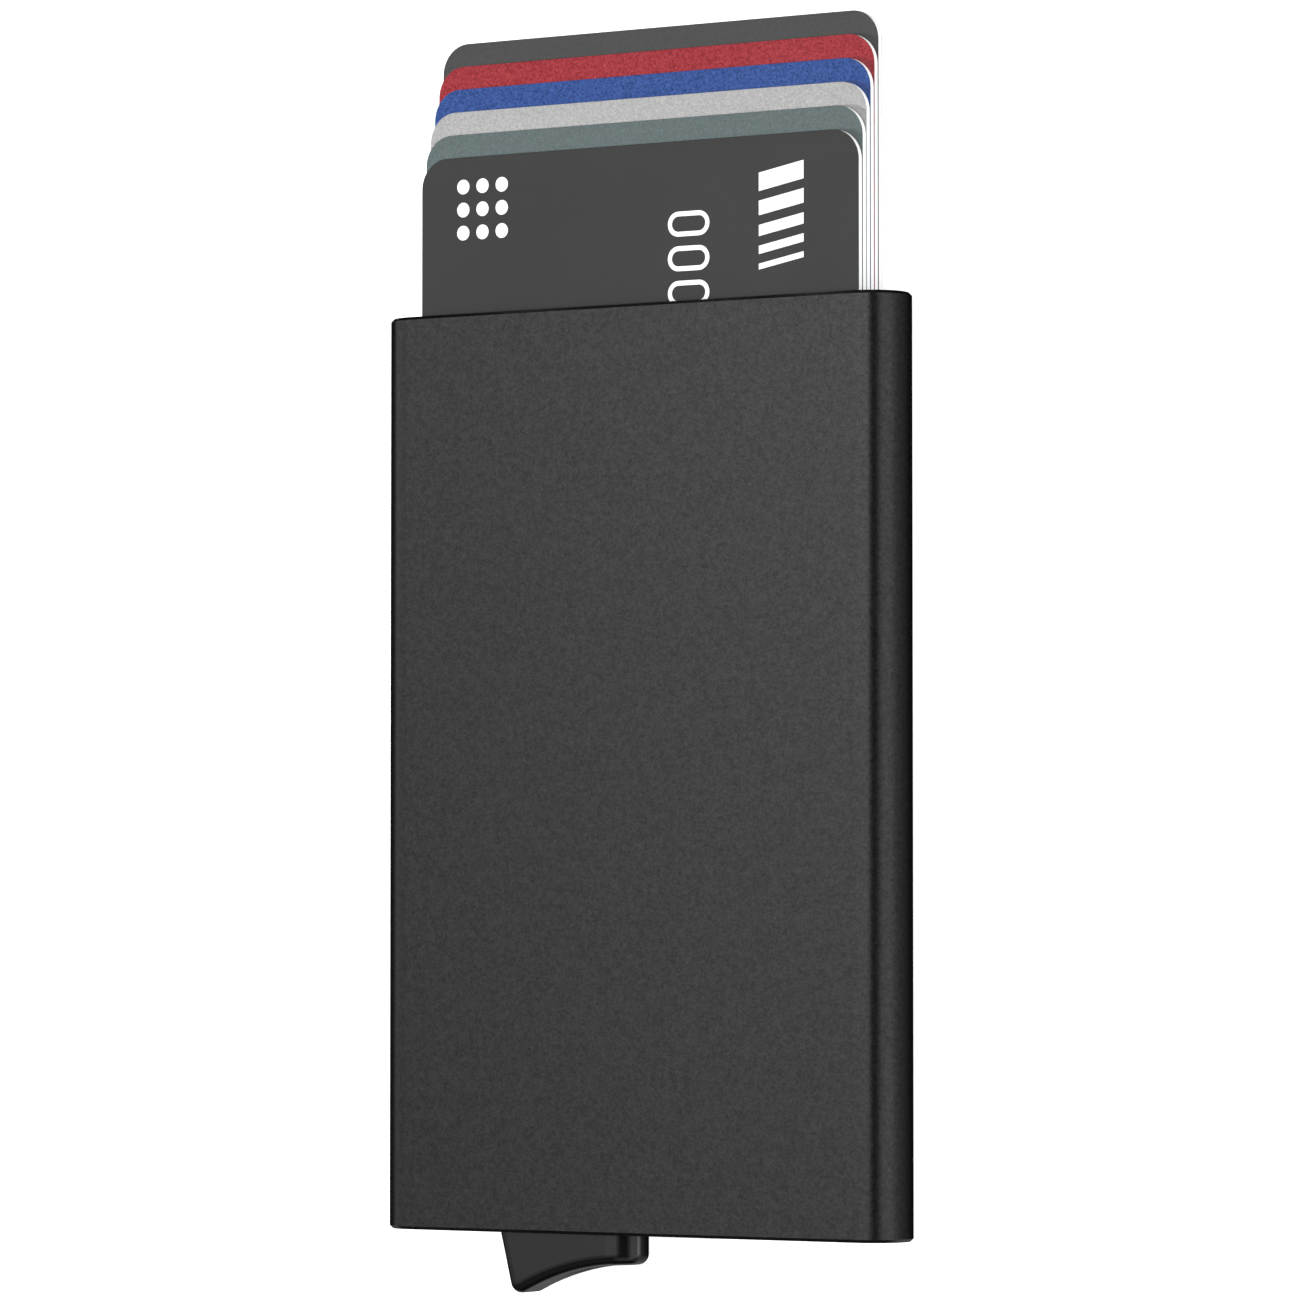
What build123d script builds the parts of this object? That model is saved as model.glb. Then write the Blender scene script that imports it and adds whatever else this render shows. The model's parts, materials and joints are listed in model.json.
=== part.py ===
from build123d import *
import os
from math import cos, radians, sin

# A pop-up card case, lying on its back. X runs across it, Y runs along it
# towards the card mouth and Z stands up from its back face. The origin is the
# centre of the back face. All sizes are in millimetres.

# Case tube: a stadium section, open at both ends
case_width = 63.0
case_length = 96.5
case_thickness = 8.0
wall = 0.8
rim_chamfer = 0.25

# Cards: the ID-1 size that every bank card has
card_width = 53.98
card_length = 85.60
card_thickness = 0.76
card_corner = 3.18
film_thickness = 0.08
card_count = 6  # cards in the stack, counted from the front
card_pitch = 0.795
front_card_depth = 1.97  # case front face down to the front card's face
front_card_out = 16.8  # how far the front card stands out of the mouth
fan_step = 2.54  # how much further out each card behind it stands
seated_depth = 0.5  # top edge of a card pushed home, below the mouth

# Chip contact plate, placed as on a card held upright with its chip end down
chip_width = 11.8
chip_length = 13.0
chip_thickness = 0.20
chip_corner = 1.6
chip_from_side = 23.9
chip_from_end = 15.1

# Clearances
press_gap = 0.02
card_side_gap = 0.3
grip_gap = 0.06
pin_gap = 0.05

# End cap: measured across from the left side and up from the bottom rim
cap_bottom = 0.5
cap_top = 2.3
cap_shoulder = 8.0
slot_left = 13.35
slot_right = 33.9
slot_thickness = 5.5
ledge_left = 4.4
ledge_right = 8.0
block_overlap = 0.5
ear_thickness = 0.63
ear_radius = 3.4

# Pivot
pivot_across = 11.5
pivot_up = 6.0
pin_radius = 1.25
pin_end_gap = 0.05

# Lever: hub, stepped arm and trigger
lever_swing = 43.0
hub_radius = 3.2
hub_back = 1.7
tip_radius = 1.0
arm_rest_gap = 0.4  # arm below the cards that are pushed home
arm_push_gap = 0.1  # arm below the cards at the end of its swing
trigger_back = 1.5
trigger_front = 6.5
trigger_left = 13.75
trigger_right = 31.2
flank_bend = (14.9, -1.6)
toe = (16.2, -7.0)
toe_radius = 1.2
sole_bend = (22.6, -4.25)
heel_low = -3.2
heel_up = 3.0  # how far the trigger runs up inside the case, to join the web
facet_across = 2.3  # the slanted face at the trigger's right end
facet_deep = 1.45
facet_radius = 3.0
trigger_end_radius = 2.05
trigger_fillet = 1.15
web_left = 12.0
web_low = 2.9
web_left_low = 3.2
web_up = 7.0

# Return spring
wire_radius = 0.2
coil_radius = 2.0
coil_pitch = 0.48
coil_turns = 2
coil_bottom = 5.1
spring_leg = 6.0
spring_pocket_radius = 2.75
spring_pocket_floor = 4.8
leg_groove_floor = 4.6
hub_front = 5.9
hub_relief_radius = 3.8
leg_groove = 0.8
fixed_leg_end = 5.0

# Side guides with their grip strips, and the felt pads in front of the cards
guide_top = 95.7
guide_start = 8.1
strip_thickness = 0.75
strip_bottom = 20.0
strip_top = 92.0
strip_back = 1.8
strip_front = 6.9
pad_width = 8.0
pad_bottom = 46.0
pad_top = 92.0
pad_from_centre = 17.5
pad_gap = 0.085

# Worked out from the sizes above
half_length = case_length / 2
middle = case_thickness / 2
inner_back = wall
inner_front = case_thickness - wall
card_left = (case_width - card_width) / 2
seated_bottom = case_length - seated_depth - card_length
stack_front = case_thickness - front_card_depth


def spot(across, up):
    """A point of the XY plane, from the case's lower left corner."""
    return (across - case_width / 2, up - half_length)


def block(left, right, bottom, top, back, front):
    """A box between six limits, in the case's own across, up and height."""
    x, y = spot((left + right) / 2, (bottom + top) / 2)
    return Pos(x, y, (back + front) / 2) * Box(right - left, top - bottom, front - back)


def disc(across, up, radius, back, front):
    """A round boss or hole that stands along Z."""
    x, y = spot(across, up)
    return Pos(x, y, (back + front) / 2) * Cylinder(radius, front - back)


def stadium_bar(inset, bottom, top):
    """A bar that fills the case's stadium section, less an inset all round."""
    section = SlotOverall(case_width - 2 * inset, case_thickness - 2 * inset)
    bar = extrude(Plane.XZ * section, amount=-(top - bottom))
    return Pos(0, bottom - half_length, middle) * bar


def case_shell():
    """The extruded tube, with a small chamfer on all four rim edges."""
    tube = stadium_bar(0, 0, case_length) - stadium_bar(wall, -1, case_length + 1)
    ends = tube.faces().sort_by(Axis.Y)
    rims = ends[0].edges() + ends[-1].edges()
    return chamfer(rims, rim_chamfer)


def end_cap():
    """The plug: a plate with the lever's slot, corner blocks, a ledge and two ears."""
    fit = wall + press_gap
    back = fit
    front = case_thickness - fit
    plate = stadium_bar(fit, cap_bottom, cap_top)
    guide_edge = card_left - card_side_gap
    corners = stadium_bar(fit, cap_top, cap_shoulder)
    corners -= block(guide_edge, case_width - guide_edge, 0, case_length, 0, case_thickness)
    cap = plate + corners
    cap += block(guide_edge - block_overlap, ledge_right, cap_top, cap_shoulder, back, front)
    cap += block(ledge_left, ledge_right, cap_shoulder, seated_bottom - arm_push_gap, back, front)
    for ear_back in (back, front - ear_thickness):
        ear_front = ear_back + ear_thickness
        cap += disc(pivot_across, pivot_up, ear_radius, ear_back, ear_front)
        cap += block(ledge_right, pivot_across, cap_top, pivot_up + ear_radius, ear_back, ear_front)
    slot_radius = slot_thickness / 2
    slot_end = slot_right - slot_radius
    slot_back = middle - slot_radius
    cap -= block(slot_left, slot_end, 0, cap_top, slot_back, slot_back + slot_thickness)
    x, y = spot(slot_end, cap_top / 2)
    cap -= Pos(x, y, middle) * Rot(90, 0, 0) * Cylinder(slot_radius, cap_top)
    cap -= disc(pivot_across, pivot_up, pin_radius, 0, case_thickness)
    leg_up = pivot_up - coil_radius
    leg_height = coil_bottom + coil_turns * coil_pitch
    half = leg_groove / 2
    notch_left = fixed_leg_end - half
    notch_front = leg_height + half + wire_radius
    cap -= block(notch_left, ledge_right, leg_up - half, leg_up + half, leg_height - half, notch_front)
    return cap


def pivot_pin():
    """The steel pin between the case's two walls."""
    return disc(pivot_across, pivot_up, pin_radius, inner_back + pin_end_gap, inner_front - pin_end_gap)


def tip_centre(card):
    """Centre of an arm step's rounded tip: the step that lifts this card to its place."""
    lift = case_length + front_card_out + fan_step * card - card_length - arm_push_gap
    rest_rise = seated_bottom - arm_rest_gap - tip_radius - pivot_up
    swung_rise = lift - tip_radius - pivot_up
    # the tip turns about the pivot: reach * sin(swing + start) = swung_rise
    swing = radians(lever_swing)
    along = (swung_rise - rest_rise * cos(swing)) / sin(swing)
    return pivot_across + along, pivot_up + rest_rise


def arm_step(card):
    """One layer of the arm, as thick as the pitch of the cards and under its own card."""
    front = stack_front + (card_pitch - card_thickness) / 2 - card * card_pitch
    across, up = tip_centre(card)
    hub = Pos(*spot(pivot_across, pivot_up)) * Circle(hub_radius)
    tip = Pos(*spot(across, up)) * Circle(tip_radius)
    outline = make_hull(hub.edges() + tip.edges())
    return Pos(0, 0, front - card_pitch) * extrude(outline, amount=card_pitch)


def end_facet():
    """The wedge that is cut off the trigger's front right corner."""
    x, y = spot(trigger_right, toe[1])
    low = trigger_front - facet_deep
    wedge = Polyline((x - facet_across, trigger_front), (x, trigger_front), (x, low), close=True)
    return Pos(0, y, 0) * extrude(Plane.XZ * make_face(wedge), amount=toe[1] - heel_up)


def trigger():
    """The part that sticks out of the case: a hooked toe with a hollow lower edge."""
    flank = ThreePointArc(spot(trigger_left, heel_up), spot(*flank_bend), spot(*toe))
    sole = ThreePointArc(spot(*toe), spot(*sole_bend), spot(trigger_right, heel_low))
    heel = Line(spot(trigger_right, heel_low), spot(trigger_right, heel_up))
    top = Line(spot(trigger_right, heel_up), spot(trigger_left, heel_up))
    outline = make_face([flank, sole, heel, top])
    outline = fillet(outline.vertices().sort_by(Axis.Y)[0], toe_radius)
    body = Pos(0, 0, trigger_back) * extrude(outline, amount=trigger_front - trigger_back)
    body -= end_facet()
    uprights = body.edges().filter_by(Axis.Y).sort_by(Axis.X)
    body = fillet(uprights[0], facet_radius)
    body = fillet(body.edges().filter_by(Axis.Y).sort_by(Axis.X)[-2:], trigger_end_radius)
    top_limit = spot(0, heel_up - trigger_fillet)[1]
    below_top = body.edges().filter_by(lambda edge: edge.center().Y < top_limit)
    upright = below_top.filter_by(Axis.Y)
    across = below_top.filter_by(Axis.Z).filter_by(lambda edge: edge.length > trigger_fillet)
    return fillet(below_top - upright - across, trigger_fillet)


def eject_lever():
    """The lever as moulded: trigger, web, hub and six steps, with its pocket and groove."""
    lever = trigger()
    web = Polyline(
        spot(trigger_left, web_low),
        spot(trigger_right, web_low),
        spot(trigger_right, web_up),
        spot(web_left, web_up),
        spot(web_left, web_left_low),
        close=True,
    )
    lever += Pos(0, 0, trigger_back) * extrude(make_face(web), amount=trigger_front - trigger_back)
    lever += disc(pivot_across, pivot_up, hub_radius, hub_back, hub_front)
    for card in range(card_count):
        lever += arm_step(card)
    lever -= disc(pivot_across, pivot_up, spring_pocket_radius, spring_pocket_floor, case_thickness)
    lever -= disc(pivot_across, pivot_up, hub_relief_radius, hub_front, case_thickness)
    lever -= disc(pivot_across, pivot_up, hub_relief_radius, 0, hub_back)
    lever -= disc(pivot_across, pivot_up, pin_radius + pin_gap, 0, case_thickness)
    leg_up = pivot_up - coil_radius
    half = leg_groove / 2
    groove_end = pivot_across + spring_leg + half
    lever -= block(
        pivot_across, groove_end, leg_up - half, leg_up + half, leg_groove_floor, coil_bottom + half
    )
    return lever


def return_spring():
    """A torsion spring round the pin: one leg in the lever, the other in the cap."""
    coil = Rot(0, 0, -90) * Helix(coil_pitch, coil_turns * coil_pitch, coil_radius, lefthand=True)
    start = coil @ 0
    end = coil @ 1
    lever_leg = Line(start - (coil % 0) * spring_leg, start)
    cap_leg = Line(end, end + (coil % 1) * (pivot_across - fixed_leg_end))
    path = Wire([lever_leg.edge(), coil.edge(), cap_leg.edge()])
    ring = Plane(path @ 0, z_dir=path % 0) * Circle(wire_radius)
    x, y = spot(pivot_across, pivot_up)
    return Pos(x, y, coil_bottom) * sweep(ring, path=path, is_frenet=True)


def guide_pair():
    """The moulded rails that fill the rounded sides, grooved for their strips."""
    bar = stadium_bar(wall + press_gap, guide_start, guide_top)
    edge = card_left - card_side_gap
    bar -= block(edge, case_width - edge, 0, case_length, 0, case_thickness)
    strip_face = card_left - grip_gap
    groove = strip_face - strip_thickness
    bar -= block(groove, case_width - groove, strip_bottom, strip_top, strip_back, strip_front)
    return bar.solids().sort_by(Axis.X)


def strip(side):
    """A soft strip in a rail's groove. The left one has side -1, the right one 1."""
    face = card_left - grip_gap
    left = block(face - strip_thickness, face, strip_bottom, strip_top, strip_back, strip_front)
    return left if side < 0 else left.mirror(Plane.YZ)


def felt_pad(side):
    """A felt strip on the front inner wall, just in front of the stack."""
    centre = case_width / 2 + side * pad_from_centre
    half = pad_width / 2
    return block(centre - half, centre + half, pad_bottom, pad_top, stack_front + pad_gap, inner_front)


def card_parts(card):
    """Front film, core and back film of one card, counted from 0 at the front."""
    front = stack_front - card * card_pitch
    out = front_card_out + fan_step * card
    centre_y = half_length + out - card_length / 2
    outline = RectangleRounded(card_width, card_length, card_corner)

    def sheet(bottom, thickness):
        return Pos(0, centre_y, bottom) * extrude(outline, amount=thickness)

    back = front - card_thickness
    parts = {
        "front": sheet(front - film_thickness, film_thickness),
        "core": sheet(back + film_thickness, card_thickness - 2 * film_thickness),
        "back": sheet(back, film_thickness),
    }
    if card == 0:
        chip = RectangleRounded(chip_width, chip_length, chip_corner)
        x = chip_from_side - card_width / 2
        y = centre_y - card_length / 2 + chip_from_end
        plate = Pos(x, y, front - chip_thickness) * extrude(chip, amount=chip_thickness)
        parts["front"] -= plate
        parts["core"] -= plate
        parts["chip"] = plate
    return parts


def build():
    """Every piece of the wallet by its node name."""
    left_guide, right_guide = guide_pair()
    nodes = {
        "case_shell": case_shell(),
        "end_cap": end_cap(),
        "pivot_pin": pivot_pin(),
        "return_spring": return_spring(),
        "eject_lever": eject_lever(),
        "side_guide_left": left_guide,
        "side_guide_right": right_guide,
        "grip_strip_left": strip(-1),
        "grip_strip_right": strip(1),
        "felt_pad_left": felt_pad(-1),
        "felt_pad_right": felt_pad(1),
    }
    for card in range(card_count):
        for layer, shape in card_parts(card).items():
            nodes[f"card_{card + 1}_{layer}"] = shape
    return nodes


os.makedirs("parts", exist_ok=True)
for name, shape in build().items():
    export_step(shape, f"parts/{name}.step")
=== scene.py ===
import json
import math

import bmesh
import bpy
from mathutils import Matrix, Vector


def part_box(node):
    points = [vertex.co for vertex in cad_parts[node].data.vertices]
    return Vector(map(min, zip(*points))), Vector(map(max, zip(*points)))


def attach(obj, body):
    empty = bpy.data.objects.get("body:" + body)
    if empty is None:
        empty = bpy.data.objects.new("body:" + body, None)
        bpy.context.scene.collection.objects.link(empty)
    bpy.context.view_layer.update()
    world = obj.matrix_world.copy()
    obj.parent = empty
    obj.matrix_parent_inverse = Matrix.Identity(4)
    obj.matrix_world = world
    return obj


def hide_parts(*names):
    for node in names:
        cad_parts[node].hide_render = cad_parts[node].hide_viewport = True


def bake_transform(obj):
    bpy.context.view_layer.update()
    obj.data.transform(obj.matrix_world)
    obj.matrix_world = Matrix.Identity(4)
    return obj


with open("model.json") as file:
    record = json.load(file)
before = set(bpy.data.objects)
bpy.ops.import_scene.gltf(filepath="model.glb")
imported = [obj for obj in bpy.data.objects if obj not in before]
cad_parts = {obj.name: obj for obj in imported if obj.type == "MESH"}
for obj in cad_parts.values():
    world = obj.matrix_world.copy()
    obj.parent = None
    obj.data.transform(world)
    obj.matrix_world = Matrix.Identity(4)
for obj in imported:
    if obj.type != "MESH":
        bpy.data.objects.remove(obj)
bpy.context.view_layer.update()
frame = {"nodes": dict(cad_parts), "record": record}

MM = 0.001

# Sizes of the real object, as in the CAD
CARDS = 6
CARD_CORNER = 3.18 * MM
CHIP_CORNER = 1.6 * MM
WIRE_RADIUS = 0.2 * MM
COIL_RADIUS = 2.0 * MM
COIL_PITCH = 0.48 * MM
COIL_TURNS = 2

# Details finer than the CAD
RIM_CHAMFER = 0.33 * MM
WALL_CLEARANCE = 0.02 * MM  # between the tube's inside and the end cap
FILM_EDGE = 0.07 * MM  # rounding of a printed film's outer edge
PAD_HEIGHT = 0.03 * MM  # of the chip's gold contacts
INK_BASE = 0.002 * MM  # heights over the card's face
INK_TOP = 0.010 * MM

# The camera of the picture: it looks at the wallet's front from its right side.
CAMERA_TURN = math.radians(32.568)
CAMERA_TILT = math.radians(2.394)
CAMERA_DISTANCE = 679.2 * MM
CAMERA_AIM = Vector((0.49, 12.40, 4.0)) * MM
CAMERA_LENS = 180.8

# Linear colours of the printed card faces, front to back
CARD_COLOURS = (
    (0.0245, 0.0245, 0.0245),
    (0.081, 0.106, 0.106),
    (0.312, 0.313, 0.311),
    (0.0005, 0.035, 0.180),
    (0.223, 0.0003, 0.008),
    (0.041, 0.041, 0.041),
)

# How much each print sparkles: the swing of its own colour, and pale flecks
CARD_GRAIN = ((0.06, 0.0), (0.18, 0.0), (0.17, 0.0), (0.32, 0.030), (0.28, 0.027), (0.12, 0.0))


# ---------------------------------------------------------------- mesh tools


def new_piece(name, bm, material, body, replaced=(), smooth=30.0):
    """A finished mesh, smooth except at edges sharper than the angle. It rides on a body."""
    mesh = bpy.data.meshes.new(name)
    bmesh.ops.recalc_face_normals(bm, faces=bm.faces)
    limit = math.radians(smooth)
    for face in bm.faces:
        face.smooth = True
    for edge in bm.edges:
        edge.smooth = not (len(edge.link_faces) == 2 and edge.calc_face_angle(0.0) > limit)
    bm.to_mesh(mesh)
    bm.free()
    piece = bpy.data.objects.new(name, mesh)
    bpy.context.scene.collection.objects.link(piece)
    mesh.materials.append(material)
    if body:
        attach(piece, body)
    if replaced:
        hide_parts(*replaced)
    return piece


def ring(bm, points):
    """One closed ring of vertices."""
    return [bm.verts.new(p) for p in points]


def bridge(bm, low, high):
    """Quads between two rings with the same number of points."""
    count = len(low)
    for i in range(count):
        j = (i + 1) % count
        bm.faces.new((low[i], low[j], high[j], high[i]))


def loft(bm, rings, closed=False):
    """Quads through a list of point rings. Returns the vertex rings."""
    loops = [ring(bm, points) for points in rings]
    for low, high in zip(loops, loops[1:]):
        bridge(bm, low, high)
    if closed:
        bridge(bm, loops[-1], loops[0])
    return loops


def close_ends(bm, loops):
    """Flat faces over the first and the last ring of a loft."""
    bm.faces.new(loops[-1])
    bm.faces.new(list(reversed(loops[0])))


def rounded_rectangle(width, height, radius, steps, centre):
    """Points of a rounded rectangle, anticlockwise from its right lower corner."""
    points = []
    for corner, (sx, sy) in enumerate(((1, -1), (1, 1), (-1, 1), (-1, -1))):
        cx = centre[0] + sx * (width / 2 - radius)
        cy = centre[1] + sy * (height / 2 - radius)
        for i in range(steps + 1):
            angle = math.radians(-90 + 90 * corner + 90 * i / steps)
            points.append((cx + radius * math.cos(angle), cy + radius * math.sin(angle)))
    return points


def box_outline(low, high, radius, steps):
    """A function that gives the rounded outline of a box, seen from above, at any inset."""
    centre = ((low.x + high.x) / 2, (low.y + high.y) / 2)

    def outline(inset):
        width = high.x - low.x - 2 * inset
        height = high.y - low.y - 2 * inset
        return rounded_rectangle(width, height, radius - inset, steps, centre)

    return outline


def slab(bm, outline, low, high, bevel, steps=3):
    """A plate rounded at its top edge. outline(inset) gives its points."""
    rings = [[(x, y, low) for x, y in outline(0.0)]]
    for i in range(steps + 1):
        angle = math.radians(90 * i / steps)
        inset = bevel * (1 - math.cos(angle))
        height = high - bevel * (1 - math.sin(angle))
        rings.append([(x, y, height) for x, y in outline(inset)])
    loops = loft(bm, rings)
    close_ends(bm, loops)


# ------------------------------------------------------------ material tools


class Shader:
    """A Principled material with short calls for the nodes that feed it."""

    def __init__(self, name):
        self.material = bpy.data.materials.new(name)
        self.material.use_nodes = True
        self.tree = self.material.node_tree
        self.nodes = self.tree.nodes
        self.surface = self.nodes["Principled BSDF"]
        self.place = self.nodes.new("ShaderNodeTexCoord").outputs["Object"]

    def set(self, **values):
        for key, value in values.items():
            self.surface.inputs[key.replace("_", " ")].default_value = value

    def link(self, out, socket):
        self.tree.links.new(out, socket)

    def stretch(self, scale):
        """Object coordinates, scaled along each axis."""
        node = self.nodes.new("ShaderNodeMapping")
        node.inputs["Scale"].default_value = scale
        self.link(self.place, node.inputs["Vector"])
        return node.outputs["Vector"]

    def noise(self, size, detail=2.0, roughness=0.5, place=None):
        """Noise whose grains are about this large, in metres."""
        node = self.nodes.new("ShaderNodeTexNoise")
        node.inputs["Scale"].default_value = 1.0 / size
        node.inputs["Detail"].default_value = detail
        node.inputs["Roughness"].default_value = roughness
        self.link(place or self.place, node.inputs["Vector"])
        return node.outputs["Fac"]

    def cells(self, size):
        """A random number for each small cell of this size."""
        node = self.nodes.new("ShaderNodeTexVoronoi")
        node.inputs["Scale"].default_value = 1.0 / size
        self.link(self.place, node.inputs["Vector"])
        split = self.nodes.new("ShaderNodeSeparateColor")
        self.link(node.outputs["Color"], split.inputs["Color"])
        return split.outputs["Red"]

    def spread(self, value, low, high, source_low=0.25, source_high=0.75):
        """A 0 to 1 pattern mapped to a range."""
        node = self.nodes.new("ShaderNodeMapRange")
        node.inputs["From Min"].default_value = source_low
        node.inputs["From Max"].default_value = source_high
        node.inputs["To Min"].default_value = low
        node.inputs["To Max"].default_value = high
        self.link(value, node.inputs["Value"])
        return node.outputs["Result"]

    def math(self, operation, a, b):
        node = self.nodes.new("ShaderNodeMath")
        node.operation = operation
        for socket, value in zip(node.inputs, (a, b)):
            if isinstance(value, (int, float)):
                socket.default_value = value
            else:
                self.link(value, socket)
        return node.outputs["Value"]

    def colour(self, colour, factor, spread, fleck=0.0):
        """Base colour: the colour times 1 - spread to 1 + spread along a pattern, with pale flecks."""
        node = self.nodes.new("ShaderNodeMix")
        node.data_type = "RGBA"
        dark = [c * (1 - spread) for c in colour] + [1.0]
        light = [c * (1 + spread) + fleck for c in colour] + [1.0]
        sockets = [s for s in node.inputs if s.type == "RGBA"]
        sockets[0].default_value = dark
        sockets[1].default_value = light
        self.link(factor, node.inputs["Factor"])
        out = [s for s in node.outputs if s.type == "RGBA"][0]
        self.link(out, self.surface.inputs["Base Color"])

    def bump(self, height, strength, distance):
        node = self.nodes.new("ShaderNodeBump")
        node.inputs["Strength"].default_value = strength
        node.inputs["Distance"].default_value = distance
        self.link(height, node.inputs["Height"])
        self.link(node.outputs["Normal"], self.surface.inputs["Normal"])


# ----------------------------------------------------------------- materials


def anodised():
    """Bead-blasted black anodised aluminium: a fine even grain, new and unworn."""
    shader = Shader("anodised_black")
    shader.set(Metallic=0.88, IOR=1.50)
    grain = shader.noise(0.24 * MM, detail=3.0, roughness=0.65)
    blasted = shader.noise(0.55 * MM, detail=1.0)
    mixed = shader.math("ADD", shader.math("MULTIPLY", grain, 0.7), shader.math("MULTIPLY", blasted, 0.3))
    shader.colour((0.036, 0.036, 0.037), shader.spread(mixed, 0.0, 1.0, 0.35, 0.65), 0.34)
    shader.link(shader.spread(mixed, 0.22, 0.27), shader.surface.inputs["Roughness"])
    shader.bump(mixed, 0.35, 0.010 * MM)
    return shader.material


def moulded(name, colour, roughness, grain_size=0.09, bump=0.12, index=1.48):
    """Moulded black plastic with a faint spark-eroded grain, its size in millimetres."""
    shader = Shader(name)
    shader.set(IOR=index)
    grain = shader.noise(grain_size * MM, detail=2.0)
    flow = shader.noise(4.0 * MM, detail=1.0)
    shader.colour(colour, shader.spread(flow, 0.0, 1.0), 0.18)
    shader.link(shader.spread(grain, roughness - 0.04, roughness + 0.05), shader.surface.inputs["Roughness"])
    shader.bump(grain, bump, 0.006 * MM)
    return shader.material


def printed(name, colour, sparkle, fleck):
    """Card print under a clear laminate: fine pigment speckle in a smooth skin."""
    shader = Shader(name)
    shader.set(IOR=1.33)
    speckle = shader.cells(0.15 * MM)
    cloud = shader.noise(0.4 * MM, detail=3.0, roughness=0.6)
    mixed = shader.math("ADD", shader.math("MULTIPLY", speckle, 0.45), shader.math("MULTIPLY", cloud, 0.55))
    shader.colour(colour, shader.spread(mixed, 0.0, 1.0), sparkle, fleck)
    smudge = shader.noise(9.0 * MM, detail=2.0)
    shader.link(shader.spread(smudge, 0.33, 0.40), shader.surface.inputs["Roughness"])
    shader.bump(cloud, 0.05, 0.004 * MM)
    return shader.material


def card_plastic():
    """White card core: the cut edge shows faint vertical cutter marks."""
    shader = Shader("card_white")
    shader.set(IOR=1.46)
    marks = shader.noise(0.12 * MM, detail=2.0, place=shader.stretch((1.0, 1.0, 0.1)))
    shader.colour((0.90, 0.90, 0.895), shader.spread(marks, 0.0, 1.0), 0.03)
    shader.link(shader.spread(marks, 0.42, 0.55), shader.surface.inputs["Roughness"])
    shader.bump(marks, 0.10, 0.008 * MM)
    return shader.material


def ink():
    """White ink, slightly uneven."""
    shader = Shader("white_ink")
    shader.set(IOR=1.45)
    tooth = shader.noise(0.10 * MM, detail=2.0)
    shader.colour((0.90, 0.90, 0.90), shader.spread(tooth, 0.0, 1.0), 0.03)
    shader.link(shader.spread(tooth, 0.40, 0.50), shader.surface.inputs["Roughness"])
    return shader.material


def steel(name, colour, roughness, along):
    """Drawn or ground steel with fine lines along one axis."""
    shader = Shader(name)
    shader.set(Metallic=1.0)
    lines = shader.noise(0.05 * MM, detail=2.0, place=shader.stretch(along))
    shader.colour(colour, shader.spread(lines, 0.0, 1.0), 0.15)
    shader.link(shader.spread(lines, roughness - 0.06, roughness + 0.08), shader.surface.inputs["Roughness"])
    shader.bump(lines, 0.08, 0.003 * MM)
    return shader.material


def felt():
    """Pressed black felt: matted fibres of two sizes."""
    shader = Shader("black_felt")
    shader.set(IOR=1.40, Sheen_Weight=0.5, Sheen_Roughness=0.5)
    fibres = shader.noise(0.10 * MM, detail=5.0, roughness=0.7)
    tufts = shader.noise(0.6 * MM, detail=2.0)
    mixed = shader.math("ADD", shader.math("MULTIPLY", fibres, 0.7), shader.math("MULTIPLY", tufts, 0.3))
    shader.colour((0.020, 0.020, 0.021), shader.spread(mixed, 0.0, 1.0), 0.6)
    shader.link(shader.spread(mixed, 0.85, 1.0), shader.surface.inputs["Roughness"])
    shader.bump(mixed, 0.9, 0.06 * MM)
    return shader.material


def soft_rubber():
    """Dull soft rubber of the grip strips."""
    shader = Shader("grip_rubber")
    shader.set(IOR=1.50)
    grain = shader.noise(0.14 * MM, detail=3.0)
    shader.colour((0.016, 0.016, 0.017), shader.spread(grain, 0.0, 1.0), 0.3)
    shader.link(shader.spread(grain, 0.62, 0.78), shader.surface.inputs["Roughness"])
    shader.bump(grain, 0.3, 0.015 * MM)
    return shader.material


def gold():
    """Gold plating of the chip's contacts."""
    shader = Shader("chip_gold")
    shader.set(Metallic=1.0)
    grain = shader.noise(0.07 * MM, detail=2.0, place=shader.stretch((1.0, 0.15, 1.0)))
    shader.colour((0.83, 0.62, 0.30), shader.spread(grain, 0.0, 1.0), 0.08)
    shader.link(shader.spread(grain, 0.24, 0.36), shader.surface.inputs["Roughness"])
    shader.bump(grain, 0.08, 0.003 * MM)
    return shader.material


# -------------------------------------------------------------------- pieces


def stadium(width, thickness, y, middle):
    """A ring of points round the case's section at one place along it."""
    steps = 22  # per rounded side
    radius = thickness / 2
    points = []
    for side in (1, -1):
        for i in range(steps + 1):
            angle = math.radians(-90 + 180 * i / steps)
            x = side * (width / 2 - radius + radius * math.cos(angle))
            z = middle + side * radius * math.sin(angle)
            points.append((x, y, z))
    return points


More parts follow.
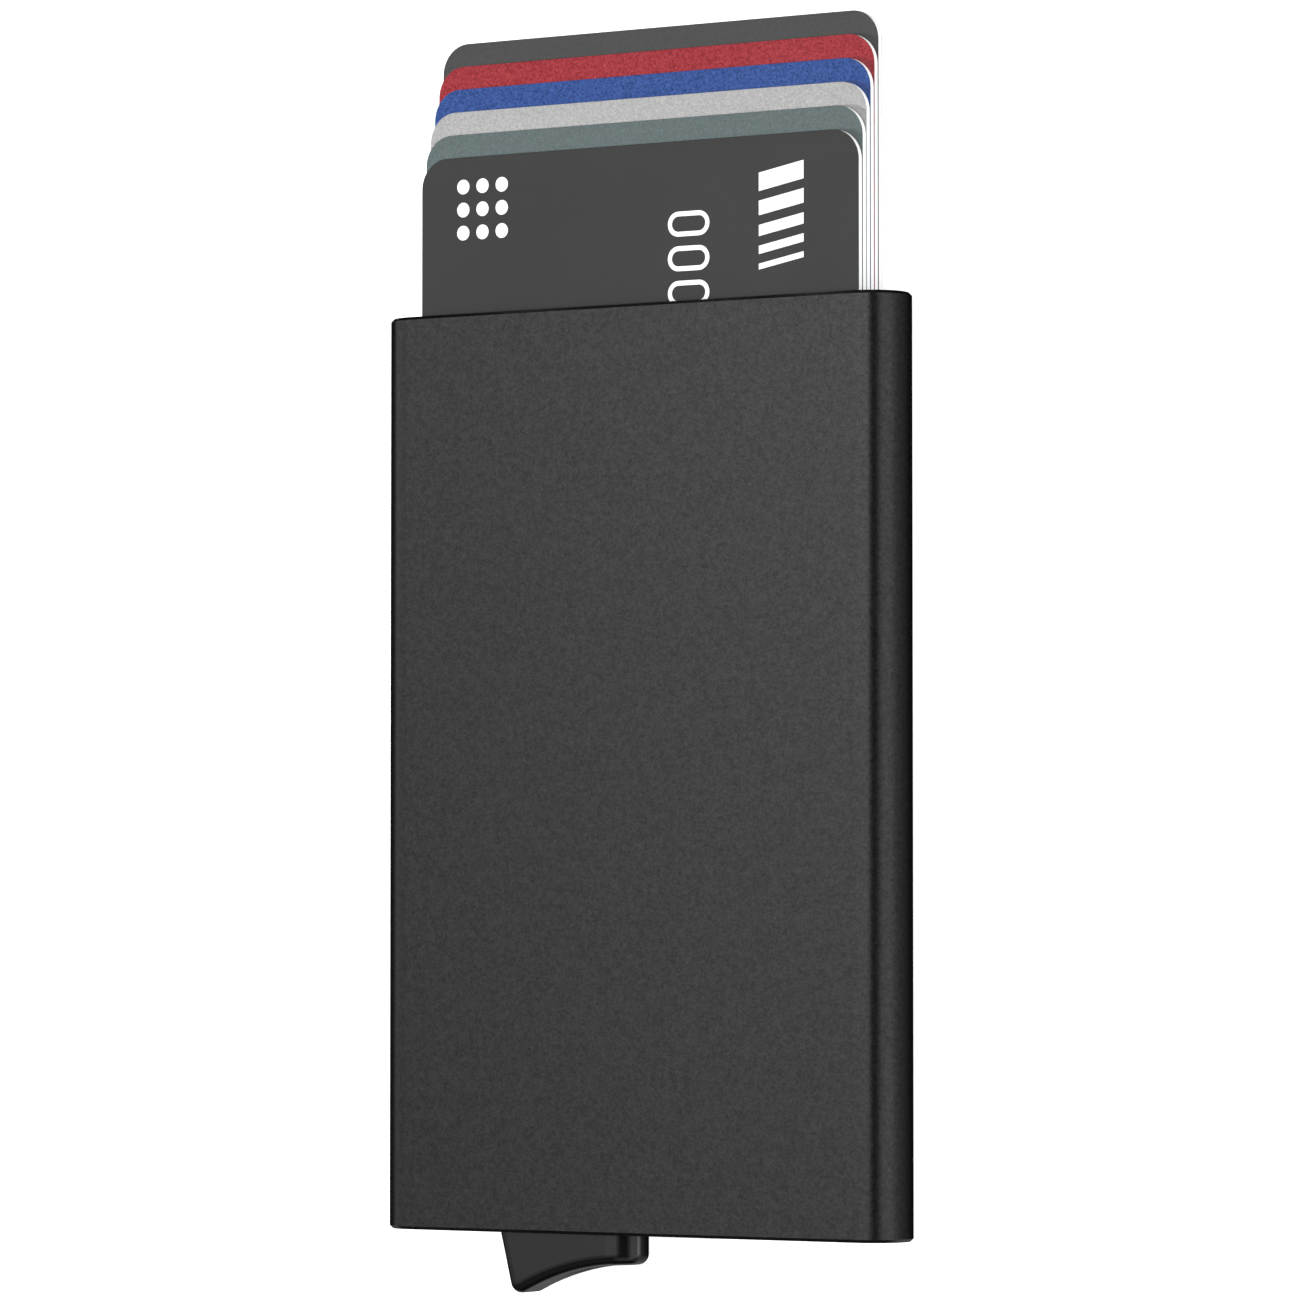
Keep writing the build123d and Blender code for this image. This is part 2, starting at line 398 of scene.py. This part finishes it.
def case_tube(material):
    """The extruded tube, its four rim edges softly broken."""
    low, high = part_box("case_shell")
    cap_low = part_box("end_cap")[0]
    width = high.x - low.x
    thickness = high.z - low.z
    middle = (high.z + low.z) / 2
    wall = cap_low.z - low.z - WALL_CLEARANCE
    chamfer = RIM_CHAMFER
    lengths = 12  # faces along the tube

    def section(inset, y):
        return stadium(width - 2 * inset, thickness - 2 * inset, y, middle)

    straight = high.y - low.y - 2 * chamfer
    rings = [section(0.0, low.y + chamfer + straight * i / lengths) for i in range(lengths + 1)]
    rings.append(section(chamfer, high.y))
    rings.append(section(wall - chamfer, high.y))
    rings += [section(wall, high.y - chamfer - straight * i / lengths) for i in range(lengths + 1)]
    rings.append(section(wall - chamfer, low.y))
    rings.append(section(chamfer, low.y))
    bm = bmesh.new()
    loft(bm, rings, closed=True)
    new_piece("case_tube", bm, material, "case", ["case_shell"])


def card_core(number, material):
    """The white core between the two films."""
    node = f"card_{number}_core"
    low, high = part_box(node)
    outline = box_outline(low, high, CARD_CORNER, 14)
    bm = bmesh.new()
    loops = loft(bm, [[(x, y, z) for x, y in outline(0.0)] for z in (low.z, high.z)])
    close_ends(bm, loops)
    new_piece(f"card_{number}_white", bm, material, f"card_{number}", [node])


def card_film(number, side, material):
    """A printed film: a thin plate with a softly cut outer edge, on the front or the back."""
    node = f"card_{number}_{side}"
    low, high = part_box(node)
    outline = box_outline(low, high, CARD_CORNER, 14)
    faces = (low.z, high.z) if side == "front" else (high.z, low.z)
    sign = 1 if side == "front" else -1
    rings = [[(x, y, faces[0]) for x, y in outline(0.0)]]
    steps = 3
    for i in range(steps + 1):
        angle = math.radians(90 * i / steps)
        inset = FILM_EDGE * (1 - math.cos(angle))
        z = faces[1] - sign * FILM_EDGE * (1 - math.sin(angle))
        rings.append([(x, y, z) for x, y in outline(inset)])
    bm = bmesh.new()
    loops = loft(bm, rings)
    if node == "card_1_front":
        hole = box_outline(*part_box("card_1_chip"), CHIP_CORNER, 6)(0.0)
        low_hole = ring(bm, [(x, y, faces[0]) for x, y in hole])
        high_hole = ring(bm, [(x, y, faces[1]) for x, y in hole])
        bridge(bm, low_hole, high_hole)
        for pair in ((loops[0], low_hole), (loops[-1], high_hole)):
            edges = [bm.edges.get((r[i], r[(i + 1) % len(r)])) for r in pair for i in range(len(r))]
            bmesh.ops.triangle_fill(bm, use_beauty=True, edges=edges)
    else:
        bm.faces.new(loops[-1])
        bm.faces.new(loops[0])
    name = f"card_{number}_{side}_print"
    new_piece(name, bm, material, f"card_{number}", [node])


def chip(gold_material, dark_material):
    """The contact plate: a dark backing with eight gold pads round a middle pad."""
    low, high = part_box("card_1_chip")
    bm = bmesh.new()
    slab(bm, box_outline(low, high, CHIP_CORNER, 6), low.z, high.z - PAD_HEIGHT, 0.01 * MM)
    new_piece("card_1_chip_backing", bm, dark_material, "card_1", ["card_1_chip"])
    bm = bmesh.new()
    gap = 0.16 * MM
    margin = 0.18 * MM
    width = high.x - low.x - 2 * margin
    length = high.y - low.y - 2 * margin
    middle = length * 0.36  # the middle pad's share
    outer = (length - middle) / 2
    row = width / 4
    for end in (0, 1):
        for i in range(4):
            x0 = low.x + margin + i * row
            y0 = low.y + margin + end * (length - outer)
            pad(bm, x0, x0 + row - gap, y0, y0 + outer - gap, high.z, 0.35 * MM)
    y0 = low.y + margin + outer
    pad(bm, low.x + margin, high.x - margin - gap, y0, y0 + middle - gap, high.z, 0.6 * MM)
    new_piece("card_1_chip_pads", bm, gold_material, "card_1")


def pad(bm, x0, x1, y0, y1, top, radius):
    """One gold contact."""
    centre = ((x0 + x1) / 2, (y0 + y1) / 2)

    def outline(inset):
        return rounded_rectangle(x1 - x0 - 2 * inset, y1 - y0 - 2 * inset, radius, 4, centre)

    slab(bm, outline, top - PAD_HEIGHT, top, 0.008 * MM, 2)


def ink_band(bm, outer, inner, face):
    """A flat ring of ink between two outlines with equal counts."""
    rings = [
        [(x, y, face + INK_BASE) for x, y in inner],
        [(x, y, face + INK_BASE) for x, y in outer],
        [(x, y, face + INK_TOP) for x, y in outer],
        [(x, y, face + INK_TOP) for x, y in inner],
    ]
    loft(bm, rings, closed=True)


def ink_patch(bm, outline, face):
    """A flat filled patch of ink."""
    loops = loft(bm, [[(x, y, face + z) for x, y in outline] for z in (INK_BASE, INK_TOP)])
    close_ends(bm, loops)


def front_marks(material):
    """Plain white marks on the front card: a row of zeros, a dot grid and a bar emblem."""
    low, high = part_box("card_1_front")
    face = high.z

    # The zeros run along the card in groups of four, each one lying on its side.
    bm = bmesh.new()
    digit_height = 5.08 * MM
    digit_width = 2.6 * MM
    stroke = 0.5 * MM
    pitch = 3.6 * MM
    group_gap = 2.0 * MM
    x = low.x + 33.52 * MM
    y = high.y - 8.65 * MM
    radius = digit_width / 2 - 0.01 * MM
    hollow = (digit_height - 2 * stroke, digit_width - 2 * stroke)
    for i in range(16):
        outer = rounded_rectangle(digit_height, digit_width, radius, 8, (x, y))
        inner = rounded_rectangle(*hollow, radius - stroke, 8, (x, y))
        ink_band(bm, outer, inner, face)
        y -= pitch + (group_gap if i % 4 == 3 else 0.0)
    new_piece("card_1_zeros", bm, material, "card_1")

    # The dots stand where the photographed card has its contactless symbol.
    bm = bmesh.new()
    dot_radius = 0.78 * MM
    grid = 2.45 * MM
    grid_x = low.x + 7.77 * MM
    grid_y = high.y - 5.6 * MM
    for i in range(3):
        for j in range(3):
            centre = (grid_x + (i - 1) * grid, grid_y + (j - 1) * grid)
            dot = rounded_rectangle(2 * dot_radius, 2 * dot_radius, dot_radius - 0.01 * MM, 7, centre)
            ink_patch(bm, dot, face)
    new_piece("card_1_dots", bm, material, "card_1")

    # The bars lean, and get thinner down the card.
    bm = bmesh.new()
    bar_x = low.x + 44.75 * MM
    half_width = 2.69 * MM
    lean = 1.0 * MM
    bar_gap = 1.0 * MM
    top = high.y - 3.9 * MM
    for thickness in (1.9, 1.5, 1.15, 0.85, 0.6):
        depth = thickness * MM
        bar = [(bar_x - half_width, top - depth), (bar_x + half_width, top - depth + lean)]
        bar += [(bar_x + half_width, top + lean), (bar_x - half_width, top)]
        ink_patch(bm, bar, face)
        top -= depth + bar_gap
    new_piece("card_1_bars", bm, material, "card_1")


def stripe(material):
    """The dark magnetic stripe on the front card's back."""
    low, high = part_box("card_1_back")
    bm = bmesh.new()
    margin = 4.0 * MM
    width = 12.7 * MM
    height = 0.006 * MM
    end_gap = 0.01 * MM
    x0 = low.x + margin
    x1 = x0 + width
    y0 = low.y + end_gap
    y1 = high.y - end_gap
    outline = [(x0, y0), (x1, y0), (x1, y1), (x0, y1)]
    loops = loft(bm, [[(x, y, low.z - z) for x, y in outline] for z in (0.0, height)])
    close_ends(bm, loops)
    new_piece("card_1_stripe", bm, material, "card_1")


def soft_block(node, name, material, rounding):
    """A soft strip with rounded edges, inside its CAD box."""
    low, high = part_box(node)
    bm = bmesh.new()
    size = high - low
    bmesh.ops.create_cube(bm, size=1.0)
    bmesh.ops.scale(bm, vec=size, verts=bm.verts)
    bmesh.ops.translate(bm, vec=(low + high) / 2, verts=bm.verts)
    bmesh.ops.bevel(bm, geom=bm.edges[:], offset=rounding, segments=3, profile=0.6, affect="EDGES")
    new_piece(name, bm, material, "case", [node], smooth=60.0)


def spring(material):
    """The torsion spring, one fixed coil of wire: its lower leg reaches out to the lever, its upper leg into
    the cap.
    """
    low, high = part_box("return_spring")
    joints = frame["record"]["behaviour"]["joints"]
    hinge = [joint for joint in joints if joint["name"] == "lever_swing"][0]["pos_m"]
    steps = 40  # per turn
    sides = 12
    end_gap = 0.01 * MM
    slope = COIL_PITCH / (2 * math.pi * COIL_RADIUS)
    lever_leg = high.x - hinge[0] - end_gap
    cap_leg = hinge[0] - low.x - end_gap
    bottom = low.z + WIRE_RADIUS + slope * lever_leg
    top = bottom + COIL_TURNS * COIL_PITCH
    leg_y = hinge[1] - COIL_RADIUS
    path = [Vector((hinge[0] + lever_leg, leg_y, bottom - slope * lever_leg))]
    for i in range(COIL_TURNS * steps + 1):
        turn = math.radians(-90 - 360 * i / steps)
        x = hinge[0] + COIL_RADIUS * math.cos(turn)
        y = hinge[1] + COIL_RADIUS * math.sin(turn)
        path.append(Vector((x, y, bottom + COIL_PITCH * i / steps)))
    path.append(Vector((hinge[0] - cap_leg, leg_y, top + slope * cap_leg)))
    angles = [2 * math.pi * j / sides for j in range(sides)]
    rings = []
    for i, point in enumerate(path):
        before = path[max(i - 1, 0)]
        after = path[min(i + 1, len(path) - 1)]
        ahead = ((after - point).normalized() + (point - before).normalized()).normalized()
        aside = ahead.cross(Vector((0.0, 0.0, 1.0))).normalized()
        upward = aside.cross(ahead)
        rings.append([point + WIRE_RADIUS * (math.cos(a) * aside + math.sin(a) * upward) for a in angles])
    bm = bmesh.new()
    loops = loft(bm, rings)
    close_ends(bm, loops)
    piece = new_piece("spring_wire", bm, material, None, ["return_spring"], smooth=50.0)
    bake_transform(piece)


# ---------------------------------------------------------------- the object

shell_material = anodised()
lever_material = moulded("lever_plastic", (0.0035, 0.0035, 0.0035), 0.20, index=1.43)
cap_material = moulded("cap_plastic", (0.012, 0.012, 0.012), 0.45, grain_size=0.12, bump=0.3)
guide_material = moulded("guide_plastic", (0.011, 0.011, 0.011), 0.42, grain_size=0.12, bump=0.3)
white_material = card_plastic()
ink_material = ink()
stripe_material = moulded("stripe_coat", (0.010, 0.009, 0.008), 0.35)
chip_dark = moulded("chip_resin", (0.02, 0.018, 0.015), 0.5)
felt_material = felt()
rubber_material = soft_rubber()
pin_material = steel("pin_steel", (0.60, 0.60, 0.61), 0.28, (1.0, 1.0, 0.05))
spring_material = steel("spring_steel", (0.48, 0.48, 0.50), 0.30, (0.2, 0.2, 1.0))
gold_material = gold()

case_tube(shell_material)
for card in range(CARDS):
    number = card + 1
    sparkle, fleck = CARD_GRAIN[card]
    print_material = printed(f"card_{number}_print", CARD_COLOURS[card], sparkle, fleck)
    if number > 1:
        card_core(number, white_material)
    card_film(number, "front", print_material)
    card_film(number, "back", print_material)
chip(gold_material, chip_dark)
front_marks(ink_material)
stripe(stripe_material)
spring(spring_material)
for side in ("left", "right"):
    soft_block(f"felt_pad_{side}", f"felt_{side}", felt_material, 0.25 * MM)
    soft_block(f"grip_strip_{side}", f"grip_{side}", rubber_material, 0.08 * MM)

CAD_MATERIALS = {
    "card_1_core": white_material,
    "eject_lever": lever_material,
    "end_cap": cap_material,
    "side_guide_left": guide_material,
    "side_guide_right": guide_material,
    "pivot_pin": pin_material,
}
for node, material in CAD_MATERIALS.items():
    shown = frame["nodes"][node]
    shown.data.materials.clear()
    shown.data.materials.append(material)


# --------------------------------------------------- floor, light and camera


def floor():
    """A plain white floor that the wallet lies on. Its glow lights nothing else."""
    bm = bmesh.new()
    bmesh.ops.create_grid(bm, x_segments=2, y_segments=2, size=4.0)
    bmesh.ops.translate(bm, vec=(0.0, 0.0, -0.02 * MM), verts=bm.verts)
    mesh = bpy.data.meshes.new("floor")
    bm.to_mesh(mesh)
    bm.free()
    shader = Shader("floor_white")
    tooth = shader.noise(3.0 * MM, detail=3.0)
    shader.colour((0.55, 0.55, 0.55), shader.spread(tooth, 0.0, 1.0), 0.01)
    shader.set(Roughness=0.9, Specular_IOR_Level=0.0)
    shader.surface.inputs["Emission Color"].default_value = (1.0, 1.0, 1.0, 1.0)
    shader.surface.inputs["Emission Strength"].default_value = 0.88
    mesh.materials.append(shader.material)
    sheet = bpy.data.objects.new("floor", mesh)
    bpy.context.scene.collection.objects.link(sheet)
    sheet.visible_glossy = False
    sheet.visible_diffuse = False


def studio():
    """The studio's soft boxes, as a sky that depends only on direction."""
    world = bpy.data.worlds.new("studio")
    bpy.context.scene.world = world
    world.use_nodes = True
    tree = world.node_tree
    nodes = tree.nodes
    nodes.clear()

    def add(kind, **inputs):
        node = nodes.new(kind)
        for key, value in inputs.items():
            socket = node.inputs[key.replace("_", " ")]
            if hasattr(value, "is_output"):
                tree.links.new(value, socket)
            else:
                socket.default_value = value
        return node

    def calc(operation, a, b=0.0):
        node = nodes.new("ShaderNodeMath")
        node.operation = operation
        for socket, value in zip(node.inputs, (a, b)):
            if hasattr(value, "is_output"):
                tree.links.new(value, socket)
            else:
                socket.default_value = value
        return node.outputs["Value"]

    def ramp(value, start, end, low=0.0, high=1.0):
        """A smooth step between two angles or numbers."""
        node = add("ShaderNodeMapRange", Value=value, From_Min=start, From_Max=end, To_Min=low, To_Max=high)
        node.interpolation_type = "SMOOTHSTEP"
        return node.outputs["Result"]

    def angle(value, start, end, low=0.0, high=1.0):
        return ramp(value, math.radians(start), math.radians(end), low, high)

    def box(value, start, full, fade, end):
        """One soft box between four angles: it starts, is full, begins to fade and ends."""
        return calc("MULTIPLY", angle(value, start, full), angle(value, fade, end, 1.0, 0.0))

    direction = nodes.new("ShaderNodeTexCoord").outputs["Generated"]
    split = nodes.new("ShaderNodeSeparateXYZ")
    tree.links.new(direction, split.inputs["Vector"])
    x, y, z = split.outputs["X"], split.outputs["Y"], split.outputs["Z"]
    around = calc("ARCTAN2", x, z)  # 0 straight over the wallet, 90 degrees to its right
    along = calc("ARCSINE", y)  # towards the card mouth
    off_level = calc("ABSOLUTE", along)
    # A wide soft box over the left side, brighter towards the card mouth: it lights the case's front
    left = calc("MULTIPLY", box(around, -94, -74, 14, 24), angle(around, -42, -25, 0.66, 1.17))
    left = calc("MULTIPLY", left, angle(around, 2, 12, 1.28, 1.45))
    left = calc("MULTIPLY", left, angle(along, -12, 12, 0.45, 1.65))
    left = calc("MULTIPLY", left, box(along, -32, -18, 20, 34))
    # One on the right, for the rounded side
    right = calc("ADD", box(around, 36, 58, 76, 104), box(around, 36, 58, 80, 165))
    right = calc("MULTIPLY", right, 0.72)
    right = calc("MULTIPLY", right, angle(off_level, 26, 46, 1.0, 0.4))
    right = calc("MULTIPLY", right, angle(off_level, 58, 70, 1.0, 0.0))
    # A low one beyond the foot end, for the trigger
    foot = calc("MULTIPLY", box(along, -66, -54, -22, -9), ramp(z, -0.2, -0.4))
    foot = calc("MULTIPLY", foot, angle(along, -50, -22, 0.7, 0.26))
    # A weak one over both ends, for views other than the photograph's. It is held back at the left
    # of the foot end, where the trigger would mirror it.
    fill = calc("MULTIPLY", angle(off_level, 26, 44), ramp(z, 0.12, 0.35))
    shade = calc("MAXIMUM", ramp(y, -0.1, 0.1), ramp(x, -0.05, 0.15))
    fill = calc("MULTIPLY", fill, calc("MAXIMUM", shade, 0.2))
    fill = calc("MULTIPLY", fill, 0.6)
    strength = calc("ADD", calc("ADD", left, right), calc("ADD", foot, fill))
    light = add("ShaderNodeBackground", Color=(1.0, 1.0, 1.0, 1.0), Strength=strength)
    seen = add("ShaderNodeBackground", Color=(1.0, 1.0, 1.0, 1.0), Strength=1.0)
    path = nodes.new("ShaderNodeLightPath")
    mix = nodes.new("ShaderNodeMixShader")
    tree.links.new(path.outputs["Is Camera Ray"], mix.inputs["Fac"])
    tree.links.new(light.outputs["Background"], mix.inputs[1])
    tree.links.new(seen.outputs["Background"], mix.inputs[2])
    out = nodes.new("ShaderNodeOutputWorld")
    tree.links.new(mix.outputs["Shader"], out.inputs["Surface"])


def far_lamp(name, energy, around, along, softness):
    """A soft lamp far away in one direction. It leaves no highlight."""
    data = bpy.data.lights.new(name, "SUN")
    data.energy = energy
    data.angle = math.radians(softness)
    lamp = bpy.data.objects.new(name, data)
    bpy.context.scene.collection.objects.link(lamp)
    turn = math.radians(around)
    lift = math.radians(along)
    source = Vector((math.sin(turn) * math.cos(lift), math.sin(lift), math.cos(turn) * math.cos(lift)))
    lamp.rotation_euler = source.to_track_quat("Z", "Y").to_euler()
    lamp.visible_glossy = False


def end_lamp():
    """A small lamp beside the trigger that picks out its rounded right end."""
    data = bpy.data.lights.new("end_lamp", "AREA")
    data.shape = "RECTANGLE"
    data.size = 6.0 * MM
    data.size_y = 4.0 * MM
    data.energy = 0.000036
    data.spread = math.radians(60.0)
    lamp = bpy.data.objects.new("end_lamp", data)
    bpy.context.scene.collection.objects.link(lamp)
    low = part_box("eject_lever")[0]
    lamp.location = Vector((8.0 * MM, low.y + 3.1 * MM, 2.2 * MM))
    lamp.rotation_euler = Vector((1.0, 0.0, 0.0)).to_track_quat("Z", "Y").to_euler()
    lamp.visible_camera = False


def camera():
    """The camera stands in front of the wallet, turned to its right."""
    data = bpy.data.cameras.new("camera")
    data.lens = CAMERA_LENS
    data.sensor_width = 36.0
    data.clip_start = 0.01
    data.clip_end = 20.0
    shot = bpy.data.objects.new("camera", data)
    bpy.context.scene.collection.objects.link(shot)
    flat = math.cos(CAMERA_TILT)
    forward = Vector((-math.sin(CAMERA_TURN) * flat, math.sin(CAMERA_TILT), -math.cos(CAMERA_TURN) * flat))
    right = Vector((math.cos(CAMERA_TURN), 0.0, -math.sin(CAMERA_TURN)))
    up = right.cross(forward)
    place = Matrix((right, up, -forward)).transposed().to_4x4()
    place.translation = CAMERA_AIM - forward * CAMERA_DISTANCE
    shot.matrix_world = place
    bpy.context.scene.camera = shot


floor()
studio()
# The first draws the cards' short shadows on each other, the second lights their white right edges.
far_lamp("key", 3.8, -55.0, -6.0, 7.0)
far_lamp("edge", 2.4, 84.0, 0.0, 20.0)
end_lamp()
camera()
bpy.context.scene.view_settings.view_transform = "Standard"
